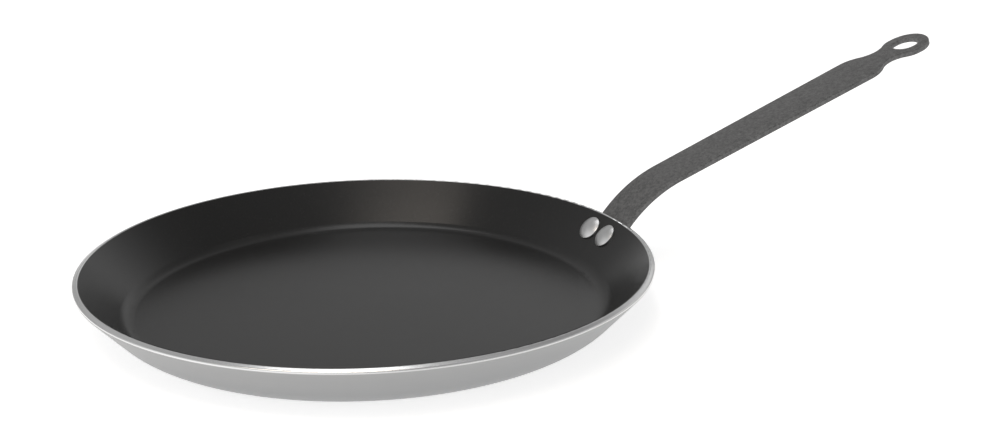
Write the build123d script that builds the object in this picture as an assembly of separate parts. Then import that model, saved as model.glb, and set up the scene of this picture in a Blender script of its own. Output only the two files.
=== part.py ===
from build123d import *
import os
from math import acos, asin, atan2, cos, degrees, hypot, radians, sin, sqrt, tan

# Crepe pan, in millimetres. The origin is the centre of the face that rests on the hob,
# +Z is up and the handle points along +X.

# pan body: one disc of thick sheet with a straight flared wall
rim_diameter = 300.0
pan_height = 27.5
sheet = 3.6
wall_lean = 43.0              # degrees from the vertical
rim_tilt = 20.0               # degrees that the rim face falls towards the outside
rim_round = 1.3               # outside edge of the rim
bare_round = 1.0              # inside edge of the rim, above the coat
outer_corner = 25.0
inner_corner = 10.0

# cooking surface: the coat bonded to the inside, up to the rounded edge of the rim
coat = 0.3

# handle: one strip, from the plate under the rim to the hanging eye
strip = 3.0
strip_width = 27.2            # at the plate and round the bend
shoulder_width = 30.3         # the run widens evenly to this
strip_crown = 0.5             # how far the middle of the run stands above its edges
broken_edge = 0.4             # chamfer round the strip's outline and the eye's hole
handle_rise = 18.7            # degrees above the horizontal, along the straight run
bend_radius = 80.0
knee_above_rim = 23.4         # rim edge to where the lines of plate and run would cross
knee_to_eye = 193.7           # that crossing to the middle of the eye
droop = 1.6                   # degrees that the end turns down from the run
droop_radius = 300.0
droop_to_eye = 36.0           # where the run and the end would cross, to the middle of the eye

# the plate that lies on the outside of the wall
plate_half_width = 18.5
plate_below_rim = 21.5
plate_corner = 8.0
plate_side = 1.5              # straight side, between the flare and the corner
plate_flare = 20.0            # radius of the curve that widens the strip into the plate
plate_gap = 0.1               # clearance between the formed plate and the wall

# the end of the handle
eye_outer = 13.3              # half the width of the eye
eye_stretch = 2.0             # straight side of the eye
eye_hole_width = 14.4
eye_hole_length = 15.6
neck_half_width = 8.0
neck_curve = 14.7
shoulder_curve = 18.5

# rivets
rivet_spacing = 16.5
rivet_below_rim = 11.05       # rim to the rivets' middle, down the inside of the wall
shank_radius = 3.0
hole_clearance = 0.1
head_radius = 6.8
head_edge = 0.8
head_height = 2.6
tail_radius = 6.0
tail_edge = 0.7
tail_height = 2.2

# how far a cutting tool runs past what it cuts
overrun = 8.0

# number of sections that shape the bend
bend_stations = 5

# an edge this many times as long as the strip is thick doesn't just cross its side
long_share = 1.3

# directions in the plane of the handle, as (outwards, up)
lean = radians(wall_lean)
tilt = radians(rim_tilt)
wall_up = (sin(lean), cos(lean))
wall_out = (cos(lean), -sin(lean))
rim_in = (-cos(tilt), sin(tilt))


def step(start, direction, length):
    """The point that lies a length away from start."""
    return (start[0] + direction[0] * length, start[1] + direction[1] * length)


# the rim face crosses the sheet at a slant
rim_face = sheet / cos(lean - tilt)
# each rounded edge takes off a corner: the outer one would stand this far outside the
# finished rim, and the inner one this far above it
wall_rise = radians(90) - lean
half_sum = (wall_rise + tilt) / 2
half_difference = (wall_rise - tilt) / 2
width_loss = rim_round * (cos(half_difference) / sin(half_sum) - 1)
height_loss = bare_round * (cos(half_difference) / cos(half_sum) - 1)
metal_edge = (rim_diameter / 2 + width_loss - rim_face * cos(tilt), pan_height + height_loss)
rim_edge = step(metal_edge, rim_in, -rim_face)
# the coat ends where the inner rounded edge runs into the wall
coat_foot = step(metal_edge, wall_up, -bare_round * tan(half_sum))
coat_edge = step(coat_foot, wall_out, -coat)


def wall_foot(edge, level):
    """Where the wall line through a rim point meets a level."""
    return (edge[0] - (edge[1] - level) * tan(lean), level)


def ring(points, radii):
    """A solid of revolution from an outline in the plane of the handle."""
    outline = FilletPolyline(*points, radius=radii, close=True)
    return revolve(Plane.XZ * make_face(outline), Axis.Z)


# rivets and the holes that take them
seat_point = step(metal_edge, wall_up, -rivet_below_rim)
rivet_turn = degrees(atan2(rivet_spacing / 2, seat_point[0]))
wall_curve = seat_point[0] / cos(lean)
seat_rise = wall_curve - sqrt(wall_curve**2 - head_radius**2)
head_seat = coat + seat_rise
tail_seat = -(sheet + plate_gap + strip)


def rivet_place(side):
    """Frame of a rivet: on the metal's inner face, z square to the wall and inwards."""
    normal = (-wall_out[0], 0, -wall_out[1])
    place = Plane(origin=(seat_point[0], 0, seat_point[1]), x_dir=(0, 1, 0), z_dir=normal)
    return Rot(0, 0, side * rivet_turn) * place.location


def rivet_holes():
    """Both drilled holes, through coat, wall and plate."""
    drill = Cylinder(shank_radius + hole_clearance, 2 * (head_seat - tail_seat))
    return [rivet_place(side) * drill for side in (-1, 1)]


def make_pan_body():
    points = [
        (0, 0),
        wall_foot(rim_edge, 0),
        rim_edge,
        metal_edge,
        wall_foot(metal_edge, sheet),
        (0, sheet),
    ]
    radii = [0, outer_corner, rim_round, bare_round, inner_corner, 0]
    return ring(points, radii) - rivet_holes()


def make_coating():
    points = [
        (0, sheet),
        wall_foot(metal_edge, sheet),
        coat_foot,
        coat_edge,
        wall_foot(coat_edge, sheet + coat),
        (0, sheet + coat),
    ]
    radii = [0, inner_corner, 0, 0, inner_corner - coat, 0]
    return ring(points, radii) - rivet_holes()


# the handle's top face: up the wall from the plate, round the bend, out along the run
run_rise = radians(handle_rise)
run_out = (cos(run_rise), sin(run_rise))
plate_line = step(rim_edge, wall_out, plate_gap)
knee = step(plate_line, wall_up, knee_above_rim)
bend_reach = bend_radius * tan((wall_rise - run_rise) / 2)
bend_start = step(knee, wall_up, -bend_reach)
bend_centre = step(bend_start, wall_out, bend_radius)
droop_turn = radians(droop)
droop_reach = droop_radius * tan(droop_turn / 2)
eye_half_length = eye_outer + eye_stretch / 2
plate_end = step(plate_line, wall_up, -(plate_below_rim + overrun))
blank_half_width = plate_half_width + overrun

# bow of the strip across its width, as drop = bow * distance squared
run_bow = strip_crown / (strip_width / 2) ** 2


def wall_bow(point):
    """Bow that lays the strip's top face round the wall at a point."""
    return -cos(lean) / (2 * point[0])


def strip_section(point, rise, bow):
    """Section of the wide blank, square to the handle's line at a point of its top face."""
    half = blank_half_width
    drop = bow * half**2
    top = Bezier((-half, -drop), (0, drop), (half, -drop))
    bottom = Bezier((half, -drop - strip), (0, drop - strip), (-half, -drop - strip))
    sides = [Line(top @ 1, bottom @ 0), Line(bottom @ 1, top @ 0)]
    place = Plane(origin=(point[0], 0, point[1]), x_dir=(0, 1, 0), z_dir=(cos(rise), 0, sin(rise)))
    return place * make_face([top, sides[0], bottom, sides[1]])


def bend_section(share):
    """Section of the blank a share of the way round the bend."""
    rise = wall_rise + (run_rise - wall_rise) * share
    point = step(bend_centre, (-sin(rise), cos(rise)), bend_radius)
    bow = wall_bow(bend_start) * (1 - share) + run_bow * share
    return strip_section(point, rise, bow)


def side_arc(centre, radius, start, end):
    """An arc about a centre, from one direction to another, both in degrees."""
    return CenterArc(centre, radius, start, end - start)


def plate_outline():
    """Plate and bend laid flat: x across, y up the wall from the rim edge."""
    half = strip_width / 2
    widen = plate_half_width - half
    turn = acos(1 - widen / plate_flare)
    side_top = plate_side + plate_corner - plate_below_rim
    centre = (half + plate_flare, side_top + plate_flare * sin(turn))
    top = (half, knee_above_rim + bend_reach + overrun)
    side = FilletPolyline(
        (plate_half_width, side_top),
        (plate_half_width, -plate_below_rim),
        (0, -plate_below_rim),
        radius=[plate_corner],
    )
    flare = side_arc(centre, plate_flare, 180, 180 + degrees(turn))
    edge = [Line((0, top[1]), top), Line(top, flare @ 0), flare, side]
    return edge + [mirror(piece, Plane.YZ) for piece in edge]


def run_outline():
    """Run, neck and eye laid flat: x along the run from the knee, y across."""
    half = strip_width / 2
    rear_x = knee_to_eye - eye_stretch / 2
    front_x = knee_to_eye + eye_stretch / 2
    neck_rise = neck_half_width + neck_curve
    neck_x = rear_x - sqrt((eye_outer + neck_curve) ** 2 - neck_rise**2)
    both = neck_curve + shoulder_curve
    shoulder_drop = shoulder_width / 2 - shoulder_curve
    shoulder_x = neck_x - sqrt(both**2 - (neck_rise - shoulder_drop) ** 2)
    reach = (shoulder_x - bend_reach, shoulder_drop - half)
    widening = atan2(reach[1], reach[0]) + asin(shoulder_curve / hypot(*reach))
    into_eye = degrees(atan2(neck_rise, neck_x - rear_x))
    into_neck = degrees(atan2(neck_rise - shoulder_drop, neck_x - shoulder_x))
    shoulder_start = 90 + degrees(widening)
    shoulder = side_arc((shoulder_x, shoulder_drop), shoulder_curve, shoulder_start, into_neck)
    neck = side_arc((neck_x, neck_rise), neck_curve, into_neck - 180, into_eye - 180)
    rear = side_arc((rear_x, 0), eye_outer, into_eye, 90)
    front = side_arc((front_x, 0), eye_outer, 90, 0)
    start = (bend_reach, half)
    edge = [Line((bend_reach, 0), start), Line(start, shoulder @ 0), shoulder, neck, rear]
    edge += [Line(rear @ 1, front @ 0), front]
    return edge + [mirror(piece, Plane.XZ) for piece in edge]


def run_path():
    """The top line of the run: straight from the bend, then drooping to past the eye."""
    end_rise = run_rise - droop_turn
    bend_end = step(knee, run_out, bend_reach)
    crossing = step(knee, run_out, knee_to_eye - droop_to_eye)
    end_out = (cos(end_rise), sin(end_rise))
    turn_start = step(crossing, run_out, -droop_reach)
    turn_end = step(crossing, end_out, droop_reach)
    tip = step(crossing, end_out, droop_to_eye + eye_half_length + overrun)
    places = [(point[0], 0, point[1]) for point in (bend_end, turn_start, turn_end, tip)]
    turn = TangentArc(places[1], places[2], tangent=(run_out[0], 0, run_out[1]))
    return Wire([Line(places[0], places[1]), turn, Line(places[2], places[3])])


def runs_along(edge):
    """Whether an edge follows the outline or the hole, not the joints or the thickness."""
    off_middle = abs(edge.center().Y) > strip
    bulging = edge.bounding_box().size.X > strip
    return edge.length > strip * long_share and (off_middle or bulging)


def make_handle():
    plate = loft(
        [
            strip_section(plate_end, wall_rise, wall_bow(plate_end)),
            strip_section(bend_start, wall_rise, wall_bow(bend_start)),
        ],
        ruled=True,
    )
    bend = loft([bend_section(i / (bend_stations - 1)) for i in range(bend_stations)])
    run = sweep(bend_section(1), path=run_path())

    plate_plane = Plane(
        origin=(plate_line[0], 0, plate_line[1]), x_dir=(0, 1, 0), z_dir=(wall_out[0], 0, wall_out[1])
    )
    run_plane = Plane(
        origin=(knee[0], 0, knee[1]), x_dir=(run_out[0], 0, run_out[1]), z_dir=(-run_out[1], 0, run_out[0])
    )
    plate_prism = extrude(plate_plane * make_face(plate_outline()), bend_reach, both=True)
    run_prism = extrude(run_plane * make_face(run_outline()), bend_reach, both=True)
    slot = Pos(knee_to_eye, 0) * SlotOverall(eye_hole_length, eye_hole_width)
    slot_prism = extrude(run_plane * slot, bend_reach, both=True)
    handle = ((plate + bend) & plate_prism) + ((run & run_prism) - slot_prism)
    handle = chamfer(handle.edges().filter_by(runs_along), broken_edge)
    return handle - rivet_holes()


def make_rivet(side):
    """Domed head inside, shank, and the head formed against the plate outside."""
    head_top = head_seat + head_height
    tail_end = tail_seat - tail_height
    dome = TangentArc((0, head_top), (head_radius, head_seat + head_edge), tangent=(1, 0))
    tail = TangentArc((0, tail_end), (tail_radius, tail_seat - tail_edge), tangent=(1, 0))
    body = Polyline(
        dome @ 1,
        (head_radius, head_seat),
        (shank_radius, head_seat),
        (shank_radius, tail_seat),
        (tail_radius, tail_seat),
        tail @ 1,
    )
    outline = make_face([dome, body, tail, Line(tail @ 0, dome @ 0)])
    return rivet_place(side) * revolve(Plane.XZ * outline, Axis.Z)


nodes = {
    "pan_body": make_pan_body(),
    "nonstick_coating": make_coating(),
    "handle": make_handle(),
    "rivet_left": make_rivet(1),
    "rivet_right": make_rivet(-1),
}

os.makedirs("parts", exist_ok=True)
for name, shape in nodes.items():
    export_step(shape, "parts/" + name + ".step")
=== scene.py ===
# %% [markdown]
# # A crepe pan in a small photo studio
# This lesson dresses a pan that comes as a finished model: five solid pieces, at their real
# size, already in place. Nothing here moves or reshapes them. What is left to do is what a
# photographer and a finisher do: set up the camera and the lights, and give each piece the
# surface it really has.

# %% Load the pan
from math import cos, radians, sin

import bpy
from mathutils import Matrix, Vector


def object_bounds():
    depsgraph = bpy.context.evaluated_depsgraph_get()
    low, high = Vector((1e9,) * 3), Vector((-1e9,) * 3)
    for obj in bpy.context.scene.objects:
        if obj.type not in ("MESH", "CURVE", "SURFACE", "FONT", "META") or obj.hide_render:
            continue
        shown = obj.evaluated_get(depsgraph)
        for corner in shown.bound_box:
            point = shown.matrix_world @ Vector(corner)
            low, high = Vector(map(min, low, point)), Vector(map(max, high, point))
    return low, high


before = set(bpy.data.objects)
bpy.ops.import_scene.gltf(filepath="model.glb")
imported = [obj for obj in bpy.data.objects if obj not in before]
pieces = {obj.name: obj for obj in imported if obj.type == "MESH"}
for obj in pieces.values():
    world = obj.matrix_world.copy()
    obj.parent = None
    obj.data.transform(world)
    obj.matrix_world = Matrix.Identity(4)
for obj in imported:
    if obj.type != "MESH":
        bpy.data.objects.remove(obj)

cad_box = [list(corner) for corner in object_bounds()]
print("pieces:", ", ".join(sorted(pieces)))
print("box of the pan in metres:", cad_box)

# %% [markdown]
# ## The camera
# A photograph fixes where its camera stood. The oval of the rim gives the height and the tilt,
# and the handle gives the direction. Blender wants a place and a rotation, so the direction
# is built up as three turns: the heading on the floor, the pitch down to the pan, and a
# small roll, because the photographer's camera wasn't quite level. The lens is a long one, as
# in most product pictures: a short lens would make the near rim look too large.

# %% Place the camera
camera_place = Vector((-0.3182, -0.7783, 0.3159))
heading = radians(63.0)
pitch = radians(17.67)
roll = radians(-0.72)
lens_mm = 61.2
sensor_mm = 36.0

away = Vector((cos(heading), sin(heading), 0))
right = Vector((sin(heading), -cos(heading), 0))
up = Vector((0, 0, 1))
sight = away * cos(pitch) - up * sin(pitch)
level_head = away * sin(pitch) + up * cos(pitch)
side = right * cos(roll) + level_head * sin(roll)
head = level_head * cos(roll) - right * sin(roll)

lens = bpy.data.cameras.new("camera")
lens.lens = lens_mm
lens.sensor_width = sensor_mm
camera = bpy.data.objects.new("camera", lens)
turn = Matrix((side, head, -sight)).transposed().to_4x4()
camera.matrix_world = Matrix.Translation(camera_place) @ turn
bpy.context.scene.collection.objects.link(camera)
bpy.context.scene.camera = camera
print("camera at", [round(value, 3) for value in camera.location])

# %% [markdown]
# ## Nodes written as sums
# A material in Blender is a graph of nodes, and a graph is hard to read in a script. So one
# small class wraps an output socket and teaches it Python's own signs: `1 - mask` adds a Math
# node and returns its output. Every other kind of node comes from one method, which takes the
# node's settings first and then the values or links of its sockets.

# %% A socket that does sums
class Signal:
    """An output socket of a node. Sums with it add Math nodes to the same graph."""

    def __init__(self, tree, socket=None):
        self.tree = tree
        self.socket = socket

    def node(self, kind, settings, inputs, output=0):
        """Adds a node: its settings first, then its sockets, by name or number."""
        made = self.tree.nodes.new("ShaderNode" + kind)
        for name, value in settings.items():
            if name == "stops":
                for stop, (place, colour) in zip(self.stops(made, len(value)), value):
                    stop.position = place
                    stop.color = colour
            else:
                setattr(made, name, value)
        for name, value in inputs.items():
            if isinstance(value, Signal):
                self.tree.links.new(value.socket, made.inputs[name])
            else:
                made.inputs[name].default_value = value
        return Signal(self.tree, made.outputs[output])

    def stops(self, ramp, count):
        """The stops of a colour ramp, made up to a count."""
        while len(ramp.color_ramp.elements) < count:
            ramp.color_ramp.elements.new(1)
        return ramp.color_ramp.elements

    def math(self, operation, *values):
        """A Math node on values or signals, in their order."""
        return self.node("Math", {"operation": operation}, dict(enumerate(values)))

    def __add__(self, other):
        return self.math("ADD", self, other)

    def __radd__(self, other):
        return self.math("ADD", other, self)

    def __sub__(self, other):
        return self.math("SUBTRACT", self, other)

    def __rsub__(self, other):
        return self.math("SUBTRACT", other, self)

    def __mul__(self, other):
        return self.math("MULTIPLY", self, other)

    def __rmul__(self, other):
        return self.math("MULTIPLY", other, self)

    def __truediv__(self, other):
        return self.math("DIVIDE", self, other)

    def __rtruediv__(self, other):
        return self.math("DIVIDE", other, self)

    def __pow__(self, other):
        return self.math("POWER", self, other)

    def __rpow__(self, other):
        return self.math("POWER", other, self)


print("signs that add a node: + - * / **")


# %% Helpers for noise, colour and relief
def ease(value, low, high):
    """0 below low, 1 above high, and a smooth step between."""
    settings = {"interpolation_type": "SMOOTHSTEP"}
    return value.node("MapRange", settings, {"Value": value, "From Min": low, "From Max": high})


def noise(place, scale, detail=2.0, roughness=0.5):
    """Cloudy noise from 0 to 1, with so many lumps to a metre."""
    inputs = {"Vector": place, "Scale": scale, "Detail": detail, "Roughness": roughness}
    return place.node("TexNoise", {"noise_dimensions": "3D"}, inputs)


def blend(share, first, second):
    """A colour that goes from the first to the second as the share goes from 0 to 1."""
    settings = {"data_type": "RGBA"}
    return share.node("Mix", settings, {0: share, 6: first, 7: second}, output=2)


def bump(height, distance, strength):
    """The normal that a small relief gives: distance is the relief's height in metres."""
    return height.node("Bump", {}, {"Height": height, "Distance": distance, "Strength": strength})


def grey(level, warm=0.0):
    """A grey colour, a little warm above zero or cool below."""
    return (level * (1 + warm), level, level * (1 - warm), 1)


print("a middle grey, a little warm:", grey(0.5, 0.1))


# %% Helpers for a material
def start(name):
    """A new material, its graph's sockets, and places on the piece in metres."""
    material = bpy.data.materials.new(name)
    material.use_nodes = True
    graph = Signal(material.node_tree)
    place = graph.node("TexCoord", {}, {}, output="Object")
    return material, graph, place


def finish_with(material, graph, values):
    """Sets or links the sockets of the material's shader."""
    shader = material.node_tree.nodes["Principled BSDF"]
    for name, value in values.items():
        if isinstance(value, Signal):
            graph.tree.links.new(value.socket, shader.inputs[name])
        else:
            shader.inputs[name].default_value = value
    print(material.name, "has", len(material.node_tree.nodes), "nodes")
    return material


def dress(names, material):
    """Gives each named piece the material as its only one."""
    for name in names:
        slots = pieces[name].data.materials
        slots.clear()
        slots.append(material)
        print(name, "wears", material.name)


print("pieces to dress:", len(pieces))

# %% [markdown]
# ## Places on a turned piece
# A polished pan has fine lines that run round its axis. To draw them, a place on the piece is
# needed as a lathe sees it: how far from the axis, how high, and in which direction. The
# direction could be an angle, but an angle jumps where the turn closes and leaves a seam.
# A point on the unit circle has no such jump.

# %% Turned places
hub = 0.0001                  # metres, keeps the axis itself from dividing by zero


def split(place):
    """The three coordinates of a place."""
    return [place.node("SeparateXYZ", {}, {"Vector": place}, output=axis) for axis in "XYZ"]


def vector(x, y, z):
    """Three numbers as one vector."""
    source = next(value for value in (x, y, z) if isinstance(value, Signal))
    return source.node("CombineXYZ", {}, {"X": x, "Y": y, "Z": z})


def around(place):
    """A place on a turned piece: distance from the axis, height, and the unit circle."""
    x, y, z = split(place)
    radius = (x * x + y * y) ** 0.5
    return radius, z, x / (radius + hub), y / (radius + hub)


def turned_noise(cosine, sine, across, along_scale, across_scale, detail, roughness):
    """Noise drawn out round the axis: slow along the turn and fast across it."""
    place = vector(cosine * along_scale, sine * along_scale, across * across_scale)
    return noise(place, 1.0, detail, roughness)


print("smallest radius for a direction, in metres:", hub)

# %% [markdown]
# ## Bare aluminium
# The body is pressed from one disc of thick aluminium sheet. Its outside is satin, with very
# fine lines that run round it, because it was polished while it turned. The rim was cut
# on a lathe after the inside was coated, so it is the brightest metal. Both are one metal
# under one shader: a mask that rises just below the rim goes from the satin values to the
# cut ones. The satin's grey is held far below bare aluminium as painted shade, because the
# outer wall faces down and mirrors the shade under the pan. The lines also make a relief, a
# hundredth of a millimetre high.

# %% Spun aluminium for the body
rim_bottom = 0.0254           # metres: the satin ends here
rim_top = 0.0262              # metres: the cut face is whole from here
line_scale = 1400.0           # lines to a metre
band_scale = 60.0             # broad bands to a metre
handling_scale = 45.0         # marks from handling, to a metre
satin_roughness = 0.36
cut_roughness = 0.18
line_relief = 0.000012        # metres
polish_direction = 0.35       # how far the polish draws highlights out
# painted shade: both satin greys are darkened to stand for the shade the outer wall mirrors
shaded_satin_dark = grey(0.34, -0.008)
shaded_satin_pale = grey(0.385)
cut_bright = grey(0.8)


def spun_aluminium():
    material, graph, place = start("spun_aluminium")
    radius, height, cosine, sine = around(place)
    rim = ease(height, rim_bottom, rim_top)
    across = radius + height
    lines = turned_noise(cosine, sine, across, 2.0, line_scale, 3.0, 0.6)
    bands = turned_noise(cosine, sine, across, 1.2, band_scale, 2.0, 0.5)
    handling = noise(place, handling_scale, 4.0, 0.55)
    satin = satin_roughness + lines * 0.08 + bands * 0.05 + handling * 0.05
    cut = cut_roughness + lines * 0.05
    # random tone in bands and handling marks, on a grey darkened as painted shade
    shaded_satin_colour = blend(bands * 0.5 + handling * 0.5, shaded_satin_dark, shaded_satin_pale)
    values = {
        # the rim mask puts the bright cut metal on the rim and the painted-shade grey below it
        "Base Color": blend(rim, shaded_satin_colour, cut_bright),
        "Metallic": 1.0,
        "Roughness": satin * (1 - rim) + cut * rim,
        "Normal": bump(lines, line_relief, 0.6),
        "Anisotropic": polish_direction,
    }
    return finish_with(material, graph, values)


dress(["pan_body"], spun_aluminium())

# %% [markdown]
# ## The coat on the cooking surface
# The inside has a dark coat that nothing sticks to. It is sprayed on and baked, so it
# follows the metal closely, and close up it has a very fine, even tooth and a faint fleck. A
# nearly black base colour alone would look like a hole. What the eye sees is gloss: the
# coat is smooth enough to mirror the lights and the far wall softly, and at a low angle it
# mirrors more. So the base stays very dark, and the roughness is fairly low and uneven.

# %% Non-stick coat
tooth_scale = 2600.0          # lumps to a metre, as in the scales below
spray_scale = 160.0
cloud_scale = 14.0
fleck_scale = 1500.0
coat_roughness = 0.21
tooth_relief = 0.00002        # metres
coat_index = 1.45             # index of refraction, which sets how much a coat mirrors
coat_dark = grey(0.007, 0.03)
coat_pale = grey(0.01, 0.05)
fleck_colour = grey(0.04, 0.02)


def dark_coat():
    material, graph, place = start("dark_coat")
    tooth = noise(place, tooth_scale, 2.0, 0.6)
    spray = noise(place, spray_scale, 3.0, 0.6)
    cloud = noise(place, cloud_scale, 3.0, 0.5)
    fleck = ease(noise(place, fleck_scale, 0.0, 0.5), 0.72, 0.8)
    base = blend(cloud * 0.6 + spray * 0.4, coat_dark, coat_pale)
    values = {
        "Base Color": blend(fleck * 0.3, base, fleck_colour),
        "Roughness": coat_roughness + spray * 0.04 + cloud * 0.05,
        "Normal": bump(tooth, tooth_relief, 0.5),
        "IOR": coat_index,
    }
    return finish_with(material, graph, values)


dress(["nonstick_coating"], dark_coat())

# %% [markdown]
# ## The coat on the handle
# The handle is one steel strip under a baked grey coat. The coat is thicker than the one
# inside the pan, and it sets with a fine leathery grain that catches the light. Two sizes
# of noise make the grain, which is relief and colour at once: its hollows are painted darker
# and its tops paler, as painted shade and light. A third size breaks the grey up, and a
# fourth, much broader one makes the gloss uneven.

# %% Grained coat
grain_scale = 900.0           # lumps to a metre, as in the scales below
pit_scale = 2200.0
blotch_scale = 420.0
gloss_scale = 30.0
grained_roughness = 0.38
grain_relief = 0.0001         # metres
grain_low = 0.36              # noise at which the grey is darkest
grain_high = 0.64             # noise at which it is palest
# the greys double as painted shade in the grain's hollows and painted light on its tops
grain_shade_dark = grey(0.055)
grain_light_pale = grey(0.145)


def grained_coat():
    material, graph, place = start("grained_coat")
    grain = noise(place, grain_scale, 3.0, 0.6)
    pits = noise(place, pit_scale, 2.0, 0.5)
    gloss = noise(place, gloss_scale, 3.0, 0.55)
    blotch = noise(place, blotch_scale, 3.0, 0.6)
    relief = grain * 0.6 + pits * 0.4
    # painted shade: the grey follows the relief, darker in the hollows; the blotch adds random
    # tone
    tone = ease(relief * 0.6 + blotch * 0.4, grain_low, grain_high)
    values = {
        "Base Color": blend(tone, grain_shade_dark, grain_light_pale),
        "Roughness": grained_roughness + gloss * 0.08 + blotch * 0.1,
        "Normal": bump(relief, grain_relief, 0.8),
    }
    return finish_with(material, graph, values)


dress(["handle"], grained_coat())

# %% [markdown]
# ## The rivets
# The two rivets are soft aluminium. Their heads are formed with a polished tool, so they
# are smoother than the wall of the body, with a few faint marks from the tool and the
# polishing wheel. They are greyer than the cut rim, because nothing cuts them fresh.

# %% Formed aluminium
mark_scale = 700.0            # marks to a metre
smear_scale = 160.0
head_roughness = 0.26
mark_relief = 0.00002         # metres
head_dark = grey(0.6)
head_pale = grey(0.7)


def formed_aluminium():
    material, graph, place = start("formed_aluminium")
    marks = noise(place, mark_scale, 3.0, 0.6)
    smear = noise(place, smear_scale, 2.0, 0.5)
    values = {
        "Base Color": blend(smear, head_dark, head_pale),
        "Metallic": 1.0,
        "Roughness": head_roughness + marks * 0.08 + smear * 0.06,
        "Normal": bump(marks, mark_relief, 0.4),
    }
    return finish_with(material, graph, values)


dress(["rivet_left", "rivet_right"], formed_aluminium())

# %% [markdown]
# ## The table
# The photograph is a plain cut-out: white all round, and no shadow to speak of. A large pale
# floor that also glows a little, like a lit table, comes close to that and still grounds the
# pan with a faint shadow.

# %% Floor
floor_half = 6.0              # metres from the middle to each side
floor_level = cad_box[0][2]
floor_glow = 0.7
floor_roughness = 0.9
floor_scale = 3.0             # clouds to a metre
floor_dark = grey(0.86)
floor_pale = grey(0.88)


def make_floor():
    mesh = bpy.data.meshes.new("floor")
    sides = ((-1, -1), (1, -1), (1, 1), (-1, 1))
    corners = [(x * floor_half, y * floor_half, floor_level) for x, y in sides]
    mesh.from_pydata(corners, [], [(0, 1, 2, 3)])
    floor = bpy.data.objects.new("floor", mesh)
    bpy.context.scene.collection.objects.link(floor)
    material, graph, place = start("floor_paint")
    tone = blend(noise(place, floor_scale), floor_dark, floor_pale)
    values = {
        "Base Color": tone,
        "Roughness": floor_roughness,
        "Emission Color": tone,
        "Emission Strength": floor_glow,
    }
    mesh.materials.append(finish_with(material, graph, values))
    return floor


print("floor at", make_floor().data.vertices[0].co.z)

# %% [markdown]
# ## The sky
# Smooth surfaces show what stands around them, so the sky here is the studio's walls, and
# each part of it gets its own strength. The cooking surface mirrors the low sky beyond the
# pan, and its far wall mirrors the high sky on the camera's side. The sky has four quarters as
# seen from the camera, near and far, left and right, which blend into each other, and each
# quarter is a colour ramp from the horizon to overhead. A good way to find the levels is to
# render with one part of the sky at a time: light adds up, so the right mix can be worked out
# from those pictures and then adjusted.

# %% Sky
heights = (0.0, 0.14, 0.3, 0.45, 0.6, 0.75, 0.88, 1.0)      # horizon to overhead
near_left = (1.2, 1.2, 1.12, 0.96, 0.68, 0.45, 0.37, 0.44)
near_right = (0.63, 0.64, 0.62, 0.54, 0.38, 0.28, 0.37, 0.44)
far_left = (0.85, 0.52, 0.32, 0.46, 0.45, 0.36, 0.38, 0.44)
far_right = (0.1, 0.36, 0.8, 0.66, 0.3, 0.25, 0.37, 0.44)
far_edges = (-0.3, 0.5)       # where the near half ends and the far half is whole
right_edges = (-0.35, 0.35)   # the same from left to right


def quarter(rise, levels):
    """The strength of one quarter of the sky at a height."""
    stops = [(height, grey(level)) for height, level in zip(heights, levels)]
    return rise.node("ValToRGB", {"stops": stops}, {"Fac": rise})


def make_sky():
    world = bpy.data.worlds.new("studio")
    world.use_nodes = True
    graph = Signal(world.node_tree)
    place = graph.node("TexCoord", {}, {}, output="Generated")
    x, y, rise = split(place)
    far = ease(x * away.x + y * away.y, *far_edges)
    to_right = ease(x * right.x + y * right.y, *right_edges)
    near_level = quarter(rise, near_left) * (1 - to_right) + quarter(rise, near_right) * to_right
    far_level = quarter(rise, far_left) * (1 - to_right) + quarter(rise, far_right) * to_right
    level = near_level * (1 - far) + far_level * far
    backdrop = world.node_tree.nodes["Background"]
    graph.tree.links.new(level.socket, backdrop.inputs["Strength"])
    backdrop.inputs["Color"].default_value = grey(1.0)
    bpy.context.scene.world = world
    return world


print("sky:", make_sky().name)

# %% [markdown]
# ## The panels
# A photographer adds soft panels where a highlight is wanted. A long one overhead gives the
# white stretch on the front rim: it is narrow, so the rim mirrors it only there. A warm one
# on the camera's side gives the pale patch on the far wall of the pan. Their places are given
# as seen from the camera: away from it, to the right, and up. Blender's Standard view leaves
# white paper white, as the photograph has it.

# %% Light panels
def in_studio(far, sideways, height):
    """A point given as seen from the camera, with the pan at zero."""
    return away * far + right * sideways + up * height


pan_middle = in_studio(0, 0, 0.02)


def panel(name, place, width, height, watts, tint):
    """A soft panel that faces the middle of the pan."""
    light = bpy.data.lights.new(name, "AREA")
    light.shape = "RECTANGLE"
    light.size = width
    light.size_y = height
    light.energy = watts
    light.color = tint[:3]
    lamp = bpy.data.objects.new(name, light)
    lamp.location = place
    lamp.rotation_euler = (pan_middle - place).to_track_quat("-Z", "Y").to_euler()
    bpy.context.scene.collection.objects.link(lamp)
    print(name, "at", [round(value, 2) for value in place], watts, "W")


overhead = in_studio(0.36, -0.1, 1.56)
camera_side = in_studio(-0.7, -0.3, 1.5)
panel("top_panel", overhead, width=0.45, height=1.0, watts=2.8, tint=grey(1.0))
panel("front_panel", camera_side, width=1.2, height=0.5, watts=4.5, tint=grey(1.0, 0.1))
bpy.context.scene.view_settings.view_transform = "Standard"
